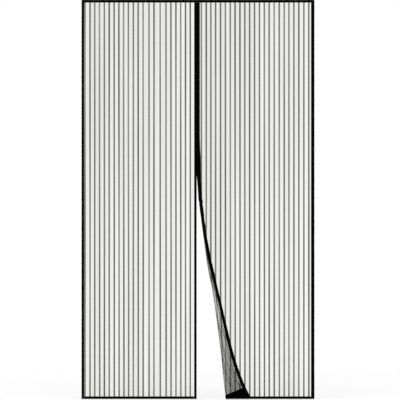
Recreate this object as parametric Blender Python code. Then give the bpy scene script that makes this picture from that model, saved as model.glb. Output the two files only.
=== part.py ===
"""Magnetic insect screen for a doorway, with one lower corner turned back.

Two striped net panels are edged with folded tape. Flexible magnets in the two inner tapes hold the
panels together, and hook tape on the back fixes the header and the outer edges to the door frame.

Lengths are in metres. The screen is drawn flat, front face towards -Y, with x across and z up from its
lower edge. What belongs to the turned corner is then rolled over, and last of all an empty carries the
whole screen so that the origin lies at the middle of the top hook tape's back face.
"""

import math

import bmesh
import bpy
from mathutils import Vector

MM = 0.001

# Whole screen
SCREEN_WIDTH = 1400 * MM
SCREEN_HEIGHT = 2400 * MM
SEAM_X = -8 * MM  # where the two panels meet, left of the middle

# Room left between pieces that touch
CLEARANCE = 0.3 * MM

# Net and its woven stripes
NET_THICKNESS = 0.4 * MM
STRIPE_RISE = 0.15 * MM
STRIPE_WIDTH = 8 * MM
LEFT_PITCH = 29 * MM
RIGHT_PITCH = 29 * MM
LEFT_FIRST_STRIPE = 19.9 * MM  # from the screen's left edge
RIGHT_FIRST_STRIPE = 28.7 * MM  # from the seam
# By how many millimetres a space differs from the pitch, for the number of the stripe before it
LEFT_UNEVEN = {1: 1.5, 13: 6.4, 14: 1.6, 15: 8, 16: 5.2, 17: 1, 18: 1}
RIGHT_UNEVEN = {2: -1.6, 10: 1.2, 13: 1.2, 15: 1.6, 17: 1.6, 19: 1.6, 21: 1.6}

# Folded tapes: each is one strip, folded over the edge of the net
LEAF_THICKNESS = 0.4 * MM
OUTER_LEFT_WIDTH = 17.5 * MM
LEFT_TAPE_WIDTH = 15 * MM
RIGHT_TAPE_WIDTH = 19.5 * MM
TOP_TAPE_WIDTH = 18 * MM
HEM_WIDTH = 16 * MM
STEP_LENGTH = 1 * MM  # where a pocketed tape narrows from its pocket to the net
FOLD_STEPS = 6  # flats round a folded edge

# Flexible magnet strips in the inner tapes
MAGNET_PAIRS = 16
MAGNET_WIDTH = 8 * MM
MAGNET_THICKNESS = 1.2 * MM
MAGNET_SPACE = 28 * MM  # between one magnet and the next
MAGNET_CORNER = 1.5 * MM

# Flat steel weights in the hems
WEIGHT_LENGTH = 90 * MM
WEIGHT_WIDTH = 7 * MM
WEIGHT_THICKNESS = 1 * MM

# Patch on the reverse of the right panel's lower inner corner
PATCH_LENGTH = 165 * MM
PATCH_HEIGHT = 62 * MM
PATCH_TAIL = 20 * MM
PATCH_THICKNESS = 0.5 * MM
PATCH_MARGIN = 1.5 * MM

# Hook tape on the back
HOOK_WIDTH = 11 * MM
HOOK_THICKNESS = 1.4 * MM
HOOK_MARGIN = 2 * MM
HOOK_CORNER = 2 * MM

# The turned corner. It rolls over a slanted line that starts at the seam and ends at the lower edge.
SPLIT_HEIGHT = 1359 * MM  # the line's upper end
FOOT_DISTANCE = 176.5 * MM  # from the seam to the line's lower end
ROLL_RADIUS = 3 * MM  # the tightest roll, at the split
CORNER_DROP = 30 * MM  # how far the free corner sinks along the line
DROP_START = 0.66  # share of the line above which nothing sinks
# Share of the line's length, how far the roll drifts from the line, and how much wider it is there
ROLL_SHAPE = (
    (0.00, 0 * MM, 0 * MM),
    (0.12, -9 * MM, 0 * MM),
    (0.19, -9 * MM, 0 * MM),
    (0.26, -9 * MM, 14 * MM),
    (0.41, -9 * MM, 25 * MM),
    (0.47, -3 * MM, 36 * MM),
    (0.55, 5 * MM, 53 * MM),
    (0.74, 4 * MM, 57 * MM),
    (0.83, 3 * MM, 52 * MM),
    (0.90, -1 * MM, 35 * MM),
    (1.00, 0 * MM, 14 * MM),
)
ROLL_BANDS = 15  # flats along the roll
ROLL_STEPS = 12  # flats round its half turn

# Half thicknesses that follow from what each tape holds
NET_HALF = NET_THICKNESS / 2 + STRIPE_RISE
SLOT_HALF = NET_HALF + CLEARANCE
TAPE_HALF = SLOT_HALF + LEAF_THICKNESS
POCKET_HALF = max(MAGNET_THICKNESS, WEIGHT_THICKNESS) / 2 + CLEARANCE
POCKET_TAPE_HALF = max(POCKET_HALF, SLOT_HALF) + LEAF_THICKNESS
POCKET_WIDTH = max(MAGNET_WIDTH, WEIGHT_WIDTH) + CLEARANCE

# The line of the turn, and the room that an edge needs as it starts to roll beside its neighbour
TURN_ANGLE = math.atan2(FOOT_DISTANCE, SPLIT_HEIGHT)
TURN_LENGTH = math.hypot(FOOT_DISTANCE, SPLIT_HEIGHT)
SWING_ANGLE = math.acos(ROLL_RADIUS / (ROLL_RADIUS + POCKET_TAPE_HALF))
EDGE_SWING = (ROLL_RADIUS + POCKET_TAPE_HALF) * math.sin(SWING_ANGLE) - ROLL_RADIUS * SWING_ANGLE
SEAM_GAP = CLEARANCE + EDGE_SWING

# Outlines that follow
LEFT_EDGE = -SCREEN_WIDTH / 2
RIGHT_EDGE = SCREEN_WIDTH / 2
SEAM_LEFT = SEAM_X - SEAM_GAP / 2
SEAM_RIGHT = SEAM_X + SEAM_GAP / 2
NET_IN_TAPE = TAPE_HALF + CLEARANCE  # from a plain tape's edge to the net's edge inside it
NET_IN_POCKET = POCKET_TAPE_HALF + POCKET_WIDTH + STEP_LENGTH + CLEARANCE
SIDE_TAPE_HEIGHT = SCREEN_HEIGHT - TOP_TAPE_WIDTH - CLEARANCE
HOOK_FRONT = TAPE_HALF + CLEARANCE
HOOK_BACK = HOOK_FRONT + HOOK_THICKNESS
HOOK_TOP_Z = SCREEN_HEIGHT - HOOK_MARGIN - HOOK_WIDTH / 2

ALONG_X = Vector((1, 0, 0))
ALONG_Z = Vector((0, 0, 1))


def clear_scene():
    for thing in list(bpy.data.objects):
        bpy.data.objects.remove(thing)


def principled(name, colour, roughness, metallic=0.0):
    """A Principled material in one colour."""
    material = bpy.data.materials.new(name)
    material.use_nodes = True
    shader = material.node_tree.nodes["Principled BSDF"]
    shader.inputs["Base Color"].default_value = (*colour, 1.0)
    shader.inputs["Roughness"].default_value = roughness
    shader.inputs["Metallic"].default_value = metallic
    return material


def add_object(name, bm, material, parent):
    """Closes the drawing: the mesh becomes an object that hangs on the parent."""
    mesh = bpy.data.meshes.new(name)
    bm.to_mesh(mesh)
    bm.free()
    mesh.materials.append(material)
    mesh.shade_smooth()
    mesh.set_sharp_from_angle(angle=math.radians(35))
    thing = bpy.data.objects.new(name, mesh)
    thing.parent = parent
    bpy.context.scene.collection.objects.link(thing)
    return thing


def extruded(outline, along, length):
    """A closed bmesh: the outline's points in space, drawn out by a length."""
    bm = bmesh.new()
    face = bm.faces.new([bm.verts.new(point) for point in outline])
    grown = bmesh.ops.extrude_face_region(bm, geom=[face])["geom"]
    moved = [item for item in grown if isinstance(item, bmesh.types.BMVert)]
    bmesh.ops.translate(bm, verts=moved, vec=along * length)
    bmesh.ops.recalc_face_normals(bm, faces=bm.faces)
    return bm


def half_round(centre, radius, first, last):
    """Points (depth, y) round a folded edge, from one angle to another about a centre."""
    angles = [first + (last - first) * step / FOLD_STEPS for step in range(FOLD_STEPS + 1)]
    return [(centre - radius * math.cos(angle), radius * math.sin(angle)) for angle in angles]


def plain_section(width):
    """A tape folded over the net, as (depth from the folded edge, y) points."""
    outer = half_round(TAPE_HALF, TAPE_HALF, -math.pi / 2, math.pi / 2)
    inner = half_round(TAPE_HALF, SLOT_HALF, math.pi / 2, -math.pi / 2)
    mouth = [(width, TAPE_HALF), (width, SLOT_HALF)]
    return outer + mouth + inner + [(depth, -y) for depth, y in reversed(mouth)]


def pocket_section(width):
    """A folded tape with a pocket behind its edge for magnets or a weight, and then a slot for the net."""
    pocket_end = POCKET_TAPE_HALF + POCKET_WIDTH
    outer = half_round(POCKET_TAPE_HALF, POCKET_TAPE_HALF, -math.pi / 2, math.pi / 2)
    inner = half_round(POCKET_TAPE_HALF, POCKET_HALF, math.pi / 2, -math.pi / 2)
    upper = [
        (pocket_end, POCKET_TAPE_HALF),
        (pocket_end + STEP_LENGTH, TAPE_HALF),
        (width, TAPE_HALF),
        (width, SLOT_HALF),
        (pocket_end + STEP_LENGTH, SLOT_HALF),
        (pocket_end, POCKET_HALF),
    ]
    return outer + upper + inner + [(depth, -y) for depth, y in reversed(upper)]


def upright_tape(section, edge_x, inward, height):
    """A tape that runs up from the floor line. Inward is +1 where its net lies at larger x."""
    outline = [Vector((edge_x + inward * depth, y, 0)) for depth, y in section]
    return extruded(outline, ALONG_Z, height)


def level_tape(section, edge_z, inward, first_x, last_x):
    """A tape that runs across. Inward is +1 where its net lies above it."""
    outline = [Vector((first_x, y, edge_z + inward * depth)) for depth, y in section]
    return extruded(outline, ALONG_X, last_x - first_x)


def plate(outline, low_y, high_y):
    """A flat piece from its outline of (x, z) points."""
    points = [Vector((x, low_y, z)) for x, z in outline]
    return extruded(points, Vector((0, 1, 0)), high_y - low_y)


def cut_corners(low_x, low_z, high_x, high_z, corner):
    """A rectangle's outline with its corners taken off."""
    return [
        (low_x + corner, low_z),
        (high_x - corner, low_z),
        (high_x, low_z + corner),
        (high_x, high_z - corner),
        (high_x - corner, high_z),
        (low_x + corner, high_z),
        (low_x, high_z - corner),
        (low_x, low_z + corner),
    ]


def stripe_centres(first_x, end_x, pitch, uneven):
    """Where the stripes of a panel lie, up to its far tape."""
    centres = []
    x = first_x
    while x + STRIPE_WIDTH / 2 < end_x:
        centres.append(x)
        x += pitch + uneven.get(len(centres), 0) * MM
    return centres


def net_panel(low_x, high_x, centres):
    """One piece of net with its raised stripes, drawn as a section and run up to the header."""
    half = NET_THICKNESS / 2
    front = [(low_x, half)]
    for x in centres:
        front.append((x - STRIPE_WIDTH / 2, half))
        front.append((x - STRIPE_WIDTH / 2, half + STRIPE_RISE))
        front.append((x + STRIPE_WIDTH / 2, half + STRIPE_RISE))
        front.append((x + STRIPE_WIDTH / 2, half))
    front.append((high_x, half))
    section = [(x, -y) for x, y in front] + list(reversed(front))
    outline = [Vector((x, y, NET_IN_POCKET)) for x, y in section]
    return extruded(outline, ALONG_Z, SCREEN_HEIGHT - NET_IN_TAPE - NET_IN_POCKET)


# The turned corner is described on the flat panel by two lengths: how far down the slanted line a point
# lies, and how far it lies from the line on the side that stays flat.
LINE_START = Vector((SEAM_X, 0, SPLIT_HEIGHT))
DOWN_LINE = Vector((math.sin(TURN_ANGLE), 0, -math.cos(TURN_ANGLE)))
OFF_LINE = Vector((math.cos(TURN_ANGLE), 0, math.sin(TURN_ANGLE)))
# The bands start above the split, where the roll begins, and end below the lower edge
BAND_START = -1.5 * ROLL_RADIUS / math.sin(TURN_ANGLE)
BAND_END = TURN_LENGTH + 10 * MM


def eased(share):
    """0 to 1, level at both ends."""
    share = min(max(share, 0.0), 1.0)
    return share * share * (3 - 2 * share)


def roll_at(down):
    """The roll's drift and radius at a distance down the line."""
    share = min(max(down / TURN_LENGTH, 0.0), 1.0)
    for (low, drift, extra), (high, next_drift, next_extra) in zip(ROLL_SHAPE, ROLL_SHAPE[1:]):
        if share <= high:
            part = eased((share - low) / (high - low))
            break
    drift += (next_drift - drift) * part
    extra += (next_extra - extra) * part
    return drift, ROLL_RADIUS + extra


BAND_ENDS = [BAND_START + (BAND_END - BAND_START) * n / ROLL_BANDS for n in range(ROLL_BANDS + 1)]
BAND_ROLLS = [roll_at(down) for down in BAND_ENDS]


def band_of(down):
    """Which band of the roll a distance falls in, and how far through it."""
    place = (down - BAND_START) / (BAND_END - BAND_START) * ROLL_BANDS
    number = min(max(int(place), 0), ROLL_BANDS - 1)
    return number, place - number


def roll_between(down):
    """The drift and radius of the faceted roll, which is straight along each band."""
    number, part = band_of(down)
    drift, radius = BAND_ROLLS[number]
    next_drift, next_radius = BAND_ROLLS[number + 1]
    return drift + (next_drift - drift) * part, radius + (next_radius - radius) * part


def line_place(point):
    """Distances down the line and off it, for a point of the flat panel."""
    offset = point - LINE_START
    return offset.dot(DOWN_LINE), offset.dot(OFF_LINE)


def cloth_length(point):
    """How much cloth lies between the roll's start and this point. Below zero it is still flat."""
    down, off = line_place(point)
    drift, radius = roll_between(down)
    return drift - off + radius


def sunk(down, cloth, radius, drift):
    """How far the free side sinks along the line, most at the lower corner."""
    edge_off = (SEAM_RIGHT - SEAM_X - down * math.sin(TURN_ANGLE)) / math.cos(TURN_ANGLE)
    edge_cloth = drift - edge_off + radius
    side = math.pi * radius / 2
    if edge_cloth <= side:
        return 0.0
    share = min(max((cloth - side) / (edge_cloth - side), 0.0), 1.0)
    return CORNER_DROP * share * eased((down / TURN_LENGTH - DROP_START) / (1 - DROP_START))


def rolled(point):
    """Where a point of the flat panel lies once the corner is turned back."""
    down, _ = line_place(point)
    drift, radius = roll_between(down)
    cloth = cloth_length(point)
    if cloth <= 0 or down < BAND_START:
        return point
    step_angle = math.pi / ROLL_STEPS
    step = cloth / (radius * step_angle)
    depth = point.y
    if step < ROLL_STEPS:
        first = int(step)
        part = step - first
        ends = []
        for angle in (first * step_angle, (first + 1) * step_angle):
            reach = radius + depth
            ends.append(Vector((radius - reach * math.sin(angle), reach * math.cos(angle) - radius)))
        off, y = ends[0].lerp(ends[1], part)
    else:
        off = radius + cloth - math.pi * radius
        y = -2 * radius - depth
    down += sunk(down, cloth, radius, drift)
    place = LINE_START + DOWN_LINE * down + OFF_LINE * (off + drift)
    return Vector((place.x, y, place.z))


def cut_along(bm, faces, start, end):
    """Cuts some faces of the flat drawing along the upright plane through two of its points."""
    run = end - start
    normal = Vector((run.z, 0, -run.x)).normalized()
    edges = {edge for face in faces for edge in face.edges}
    verts = {vert for face in faces for vert in face.verts}
    geom = list(verts) + list(edges) + list(faces)
    bmesh.ops.bisect_plane(bm, geom=geom, dist=0.002 * MM, plane_co=start, plane_no=normal)


def reaches_roll(face):
    return any(cloth_length(vert.co) > 0 and line_place(vert.co)[0] > BAND_START for vert in face.verts)


def turn_corner(bm):
    """Cuts the drawing along the roll's facets and rolls it over."""
    for down in BAND_ENDS:
        start = LINE_START + DOWN_LINE * down
        cut_along(bm, [face for face in bm.faces if reaches_roll(face)], start, start + OFF_LINE)
    for number in range(ROLL_BANDS):
        band_start, band_end = BAND_ENDS[number], BAND_ENDS[number + 1]
        for step in range(ROLL_STEPS + 1):
            ends = []
            for down, (drift, radius) in zip((band_start, band_end), BAND_ROLLS[number : number + 2]):
                off = drift + radius - step * math.pi * radius / ROLL_STEPS
                ends.append(LINE_START + DOWN_LINE * down + OFF_LINE * off)
            faces = []
            for face in bm.faces:
                middle = line_place(face.calc_center_median())[0]
                if band_start < middle < band_end and reaches_roll(face):
                    faces.append(face)
            cut_along(bm, faces, *ends)
    for vert in bm.verts:
        vert.co = rolled(vert.co)
    return bm


def build_nets(parent):
    material = principled("net", (0.10, 0.10, 0.09), 0.8)
    left_low = LEFT_EDGE + NET_IN_TAPE
    left_high = SEAM_LEFT - NET_IN_POCKET
    left_end = SEAM_LEFT - LEFT_TAPE_WIDTH
    left_stripes = stripe_centres(LEFT_EDGE + LEFT_FIRST_STRIPE, left_end, LEFT_PITCH, LEFT_UNEVEN)
    add_object("net_left", net_panel(left_low, left_high, left_stripes), material, parent)
    right_low = SEAM_RIGHT + NET_IN_POCKET
    right_high = RIGHT_EDGE - NET_IN_TAPE
    right_end = RIGHT_EDGE - RIGHT_TAPE_WIDTH
    right_stripes = stripe_centres(SEAM_X + RIGHT_FIRST_STRIPE, right_end, RIGHT_PITCH, RIGHT_UNEVEN)
    right = net_panel(right_low, right_high, right_stripes)
    add_object("net_right", turn_corner(right), material, parent)


def build_tapes(parent):
    material = principled("woven_tape", (0.006, 0.006, 0.007), 0.7)
    header = level_tape(plain_section(TOP_TAPE_WIDTH), SCREEN_HEIGHT, -1, LEFT_EDGE, RIGHT_EDGE)
    add_object("tape_top", header, material, parent)
    left = upright_tape(plain_section(OUTER_LEFT_WIDTH), LEFT_EDGE, 1, SIDE_TAPE_HEIGHT)
    add_object("tape_outer_left", left, material, parent)
    right = upright_tape(plain_section(RIGHT_TAPE_WIDTH), RIGHT_EDGE, -1, SIDE_TAPE_HEIGHT)
    add_object("tape_outer_right", right, material, parent)
    left = upright_tape(pocket_section(LEFT_TAPE_WIDTH), SEAM_LEFT, -1, SIDE_TAPE_HEIGHT)
    add_object("tape_inner_left", left, material, parent)
    right = upright_tape(pocket_section(RIGHT_TAPE_WIDTH), SEAM_RIGHT, 1, SIDE_TAPE_HEIGHT)
    add_object("tape_inner_right", turn_corner(right), material, parent)


def hem_ends():
    """The x of both ends of the left hem and of the right one, between the upright tapes."""
    left_low = LEFT_EDGE + OUTER_LEFT_WIDTH + CLEARANCE
    left_high = SEAM_LEFT - LEFT_TAPE_WIDTH - CLEARANCE
    right_low = SEAM_RIGHT + RIGHT_TAPE_WIDTH + CLEARANCE
    right_high = RIGHT_EDGE - RIGHT_TAPE_WIDTH - CLEARANCE
    return left_low, left_high, right_low, right_high


def build_hems(parent):
    material = principled("hem_tape", (0.006, 0.006, 0.007), 0.7)
    left_low, left_high, right_low, right_high = hem_ends()
    left = level_tape(pocket_section(HEM_WIDTH), 0, 1, left_low, left_high)
    add_object("hem_left", left, material, parent)
    right = level_tape(pocket_section(HEM_WIDTH), 0, 1, right_low, right_high)
    add_object("hem_right", turn_corner(right), material, parent)


def build_weights(parent):
    """A steel bar in each hem, beside the inner tape."""
    material = principled("weight_steel", (0.45, 0.45, 0.46), 0.35, 1.0)
    _, left_high, right_low, _ = hem_ends()
    half = WEIGHT_THICKNESS / 2
    low_z = POCKET_TAPE_HALF
    for side, low_x in (("left", left_high - WEIGHT_LENGTH), ("right", right_low)):
        outline = cut_corners(low_x, low_z, low_x + WEIGHT_LENGTH, low_z + WEIGHT_WIDTH, WEIGHT_WIDTH / 4)
        weight = plate(outline, -half, half)
        if side == "right":
            turn_corner(weight)
        add_object(f"hem_weight_{side}", weight, material, parent)


def build_magnets(parent):
    """One strip after another up each inner tape. The right ones roll over with their tape."""
    material = principled("magnet_rubber", (0.02, 0.02, 0.022), 0.6)
    spacing = SIDE_TAPE_HEIGHT / MAGNET_PAIRS
    half = MAGNET_THICKNESS / 2
    left_x = SEAM_LEFT - POCKET_TAPE_HALF - MAGNET_WIDTH
    right_x = SEAM_RIGHT + POCKET_TAPE_HALF
    for number in range(MAGNET_PAIRS):
        low_z = number * spacing + MAGNET_SPACE / 2
        high_z = (number + 1) * spacing - MAGNET_SPACE / 2
        for side, low_x in (("left", left_x), ("right", right_x)):
            outline = cut_corners(low_x, low_z, low_x + MAGNET_WIDTH, high_z, MAGNET_CORNER)
            strip = plate(outline, -half, half)
            if side == "right":
                turn_corner(strip)
            add_object(f"magnet_{side}_{number + 1:02d}", strip, material, parent)


def build_patch(parent):
    """The patch covers the reverse of the lower inner corner and tapers along the hem."""
    material = principled("patch_cloth", (0.006, 0.006, 0.007), 0.75)
    low_x = SEAM_RIGHT + PATCH_MARGIN
    outline = [
        (low_x, PATCH_MARGIN),
        (low_x + PATCH_LENGTH, PATCH_MARGIN),
        (low_x + PATCH_LENGTH, PATCH_TAIL),
        (low_x + RIGHT_TAPE_WIDTH, PATCH_HEIGHT),
        (low_x, PATCH_HEIGHT),
    ]
    low_y = POCKET_TAPE_HALF + CLEARANCE
    patch = plate(outline, low_y, low_y + PATCH_THICKNESS)
    add_object("corner_patch", turn_corner(patch), material, parent)


def build_hook_tapes(parent):
    """Hook tape behind the header and both outer tapes, hidden by them from the front."""
    material = principled("hook_tape", (0.012, 0.012, 0.013), 0.85)
    low_x, high_x = LEFT_EDGE + HOOK_MARGIN, RIGHT_EDGE - HOOK_MARGIN
    side_top = SCREEN_HEIGHT - HOOK_MARGIN - HOOK_WIDTH - CLEARANCE
    outlines = {
        "hook_tape_top": (low_x, side_top + CLEARANCE, high_x, SCREEN_HEIGHT - HOOK_MARGIN),
        "hook_tape_left": (low_x, HOOK_MARGIN, low_x + HOOK_WIDTH, side_top),
        "hook_tape_right": (high_x - HOOK_WIDTH, HOOK_MARGIN, high_x, side_top),
    }
    for name, corners in outlines.items():
        outline = cut_corners(*corners, HOOK_CORNER)
        add_object(name, plate(outline, HOOK_FRONT, HOOK_BACK), material, parent)


def main():
    clear_scene()
    screen = bpy.data.objects.new("screen", None)
    screen.location = (0, -HOOK_BACK, -HOOK_TOP_Z)
    bpy.context.scene.collection.objects.link(screen)
    build_nets(screen)
    build_tapes(screen)
    build_hems(screen)
    build_weights(screen)
    build_magnets(screen)
    build_patch(screen)
    build_hook_tapes(screen)


main()
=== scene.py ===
# %% [markdown]
# # A magnetic insect screen with one corner turned back
# The screen hangs in a doorway. Two panels of striped net are edged with folded black tape, and
# magnets in the two inner tapes pull the panels together. Here the right panel's lower inner corner
# is rolled back towards the viewer. The solid model of the screen is loaded first, and every cloth
# piece below is made in its place, in metres, in the same frame.

# %% Load the solid model
import math

import bpy
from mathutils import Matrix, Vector, noise


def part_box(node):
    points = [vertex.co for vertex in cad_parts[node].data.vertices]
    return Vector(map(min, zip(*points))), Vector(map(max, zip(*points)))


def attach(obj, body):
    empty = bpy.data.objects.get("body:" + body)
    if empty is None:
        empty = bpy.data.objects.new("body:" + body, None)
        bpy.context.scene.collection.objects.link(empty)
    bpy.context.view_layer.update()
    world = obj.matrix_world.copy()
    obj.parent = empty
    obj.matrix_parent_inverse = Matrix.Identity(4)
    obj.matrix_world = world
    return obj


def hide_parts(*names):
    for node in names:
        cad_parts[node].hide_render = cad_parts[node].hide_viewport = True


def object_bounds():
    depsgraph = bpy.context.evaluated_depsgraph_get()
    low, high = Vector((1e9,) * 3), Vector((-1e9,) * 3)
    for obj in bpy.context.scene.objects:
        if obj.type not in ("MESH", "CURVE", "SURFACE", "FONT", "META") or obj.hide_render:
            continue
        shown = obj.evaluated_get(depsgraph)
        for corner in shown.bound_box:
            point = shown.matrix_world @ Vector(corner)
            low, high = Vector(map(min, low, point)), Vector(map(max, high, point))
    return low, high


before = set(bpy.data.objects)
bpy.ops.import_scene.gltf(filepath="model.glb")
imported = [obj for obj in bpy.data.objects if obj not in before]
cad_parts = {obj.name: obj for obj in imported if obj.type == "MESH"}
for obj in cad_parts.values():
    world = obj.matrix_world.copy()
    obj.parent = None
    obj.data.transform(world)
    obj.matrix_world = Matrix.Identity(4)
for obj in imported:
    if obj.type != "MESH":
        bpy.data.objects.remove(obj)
MM = 0.001
cad_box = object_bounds()
screen_low, screen_high = cad_box
print(f"{len(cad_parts)} solids, {1000 * (screen_high.z - screen_low.z):.1f} mm high")

# %% [markdown]
# ## Named sizes
# The panels hang in one upright plane. Its depth and the height of the lower edge are read from the
# solids, so that cloth and solids can't drift apart. The other sizes are those of the cut cloth.
# Heights are counted up from the lower edge, as a maker would measure a hanging screen.

# %% Sizes of the screen and its cloth
header_low, header_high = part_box("tape_top")
PANEL_Y = (header_low.y + header_high.y) / 2
FOOT_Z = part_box("tape_outer_left")[0].z
TOP = header_high.z - FOOT_Z
LEFT_EDGE = header_low.x
RIGHT_EDGE = header_high.x
SEAM_X = -8 * MM

LEAF = 0.4 * MM  # thickness of a tape's woven leaf
NET_THICKNESS = 0.4 * MM
STRIPE_THICKNESS = 0.7 * MM
STRIPE_WIDTH = 9.6 * MM  # with the loose threads at its edges
LEFT_PITCH = 29 * MM
RIGHT_PITCH = 29 * MM
LEFT_FIRST_STRIPE = 20.6 * MM  # from the screen's left edge
RIGHT_FIRST_STRIPE = 28.7 * MM  # from the seam
# Spaces that differ from the pitch, in mm, by the number of the stripe that they follow
LEFT_UNEVEN = {1: 0.8, 13: 6.4, 14: 1.6, 15: 8, 16: 5.2, 17: 1, 18: 1}
RIGHT_UNEVEN = {2: -1.6, 10: 1.2, 13: 1.2, 15: 1.6, 17: 1.6, 19: 1.6, 21: 1.6}

OUTER_LEFT_WIDTH = 15.5 * MM
OUTER_RIGHT_WIDTH = 20.5 * MM
LEFT_TAPE_WIDTH = 15 * MM
RIGHT_TAPE_WIDTH = 19.5 * MM
TOP_TAPE_WIDTH = 17.5 * MM
HEM_WIDTH = 15.5 * MM
PLAIN_HALF = 0.85 * MM  # from the net's middle to the middle of a leaf
POCKET_HALF = 1.1 * MM  # the same where a leaf passes over magnets or a weight
POCKET_WIDTH = 8.3 * MM
STEP_LENGTH = 1 * MM  # where a pocketed tape narrows to the net
PIECE_GAP = 0.3 * MM  # between two pieces that meet end to end
print(f"Panel plane at y = {1000 * PANEL_Y:.2f} mm, foot at z = {1000 * FOOT_Z:.1f} mm")

# %% [markdown]
# ## Camera
# The screen is photographed straight on from far away, so its upright edges stay parallel. A long
# lens at a large distance does the same: 250 mm from 16.7 m takes in a square of 2.404 m.

# %% Camera
FRAME_SIDE = 2404.2 * MM
LENS = 250
SENSOR = 36
CAMERA_X = 12.14 * MM
CAMERA_HEIGHT = 1195.8 * MM
distance = FRAME_SIDE * LENS / SENSOR
bpy.ops.object.select_all(action="DESELECT")
bpy.ops.object.camera_add(
    location=(CAMERA_X, PANEL_Y - distance, FOOT_Z + CAMERA_HEIGHT),
    rotation=(math.pi / 2, 0, 0),
)
camera = bpy.context.object
camera.name = "front_camera"
camera.data.lens = LENS
camera.data.sensor_width = SENSOR
camera.data.clip_end = 200
bpy.context.scene.camera = camera
print(f"Camera {distance:.2f} m in front of the screen")

# %% [markdown]
# ## Helpers for finishes
# Colours are picked as sRGB hex values, as in a paint program, but shaders add up light, so each
# value is turned linear once. One function adds a node: it sets the node's own settings and its
# socket values, and it links sockets. The functions after it are short forms for what comes back in
# most finishes: sums, ranges, a blend of two colours and a bump.

# %% Colour and node helpers
def linear(hex_colour):
    """An sRGB hex colour as the linear RGBA that shaders use."""
    channels = [int(hex_colour[at : at + 2], 16) / 255 for at in (1, 3, 5)]
    return (*[c / 12.92 if c <= 0.04045 else ((c + 0.055) / 1.055) ** 2.4 for c in channels], 1.0)


def add_node(tree, kind, settings=None, links=None):
    """Adds a node, sets its properties and socket values, and links outputs to its sockets."""
    node = tree.nodes.new(kind)
    for name, value in (settings or {}).items():
        if isinstance(name, str) and hasattr(node, name):
            setattr(node, name, value)
        else:
            node.inputs[name].default_value = value
    for name, output in (links or {}).items():
        tree.links.new(output, node.inputs[name])
    return node


def new_finish(name, colour, roughness, specular, metallic=0.0):
    """A material with its constants set on the shader itself."""
    material = bpy.data.materials.new(name)
    material.use_nodes = True
    shader = material.node_tree.nodes["Principled BSDF"]
    shader.inputs["Base Color"].default_value = linear(colour)
    shader.inputs["Roughness"].default_value = roughness
    shader.inputs["Specular IOR Level"].default_value = specular
    shader.inputs["Metallic"].default_value = metallic
    return material, material.node_tree, shader


def calculate(tree, operation, *values, clamp=False):
    """The output of a Math node whose values are numbers or other outputs."""
    node = add_node(tree, "ShaderNodeMath", {"operation": operation, "use_clamp": clamp})
    for socket, value in zip(node.inputs, values):
        if isinstance(value, bpy.types.NodeSocket):
            tree.links.new(value, socket)
        else:
            socket.default_value = value
    return node.outputs[0]


def ranged(tree, value, low, high, start=0.0, end=1.0):
    """An output that goes from low to high while a value goes from start to end."""
    limits = {"From Min": start, "From Max": end, "To Min": low, "To Max": high}
    return add_node(tree, "ShaderNodeMapRange", limits, {"Value": value}).outputs["Result"]


def tint(tree, shader, factor, first, second):
    """Blends two sRGB hex colours into the base colour."""
    settings = {"data_type": "RGBA", 6: linear(first), 7: linear(second)}
    blend = add_node(tree, "ShaderNodeMix", settings, {0: factor})
    tree.links.new(blend.outputs[2], shader.inputs["Base Color"])


def emboss(tree, shader, height, strength, depth, invert=False):
    """Bumps that are so deep in metres where the height goes up by one."""
    settings = {"Strength": strength, "Distance": depth, "invert": invert}
    bump = add_node(tree, "ShaderNodeBump", settings, {"Height": height})
    tree.links.new(bump.outputs[0], shader.inputs["Normal"])


print("White is", linear("#ffffff"))

# %% [markdown]
# ## Light and floor
# Soft light from all round shows thin cloth best. The world gives most of it, and two suns with a
# very wide disc add a little direction without a hard shadow. A sun is as bright at the top of a
# tall screen as at its foot. The background is white only for what the camera and reflections see,
# so it adds no light. The floor lies just under the lower edge. Its mid-grey paint keeps a faint
# shadow, and a glow that only the camera sees lifts it to the white of the background.

# %% World and suns
WORLD_LIGHT = 0.6
SUN_DISC = math.radians(60)
SUNS = (  # name, strength, tilt and turn in degrees
    ("key_sun", 1.0, 50, -35),
    ("fill_sun", 0.5, 60, 40),
)
world = bpy.data.worlds.new("studio")
world.use_nodes = True
bpy.context.scene.world = world
world_tree = world.node_tree
background = world_tree.nodes["Background"]
background.inputs["Color"].default_value = linear("#ffffff")
path = add_node(world_tree, "ShaderNodeLightPath")
seen = path.outputs["Is Camera Ray"]
for ray in ("Is Glossy Ray", "Is Transmission Ray"):
    seen = calculate(world_tree, "MAXIMUM", seen, path.outputs[ray])
strength = ranged(world_tree, seen, WORLD_LIGHT, 1.0)
world_tree.links.new(strength, background.inputs["Strength"])

for name, power, tilt, turn in SUNS:
    bpy.ops.object.light_add(type="SUN", rotation=(math.radians(tilt), 0, math.radians(turn)))
    sun = bpy.context.object
    sun.name = name
    sun.data.energy = power
    sun.data.angle = SUN_DISC
bpy.context.scene.view_settings.view_transform = "Standard"
print(f"A world and {len(SUNS)} suns")

# %% Floor
FLOOR_SIDE = 14
FLOOR_DROP = 3 * MM
FLOOR_GLOW = 0.515
bpy.ops.mesh.primitive_plane_add(size=FLOOR_SIDE, location=(0, 0, FOOT_Z - FLOOR_DROP))
floor = bpy.context.object
floor.name = "floor"
floor_paint, floor_tree, floor_shader = new_finish(
    "matt_floor_paint",
    "#c4c4c4",
    roughness=0.9,
    specular=0.0,
)
path = add_node(floor_tree, "ShaderNodeLightPath")
glow = add_node(floor_tree, "ShaderNodeEmission", {"Color": linear("#ffffff")})
glow_strength = ranged(floor_tree, path.outputs["Is Camera Ray"], 0.0, FLOOR_GLOW)
floor_tree.links.new(glow_strength, glow.inputs["Strength"])
both = add_node(floor_tree, "ShaderNodeAddShader", {}, {0: floor_shader.outputs[0], 1: glow.outputs[0]})
floor_tree.links.new(both.outputs[0], floor_tree.nodes["Material Output"].inputs["Surface"])
floor.data.materials.append(floor_paint)
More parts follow.
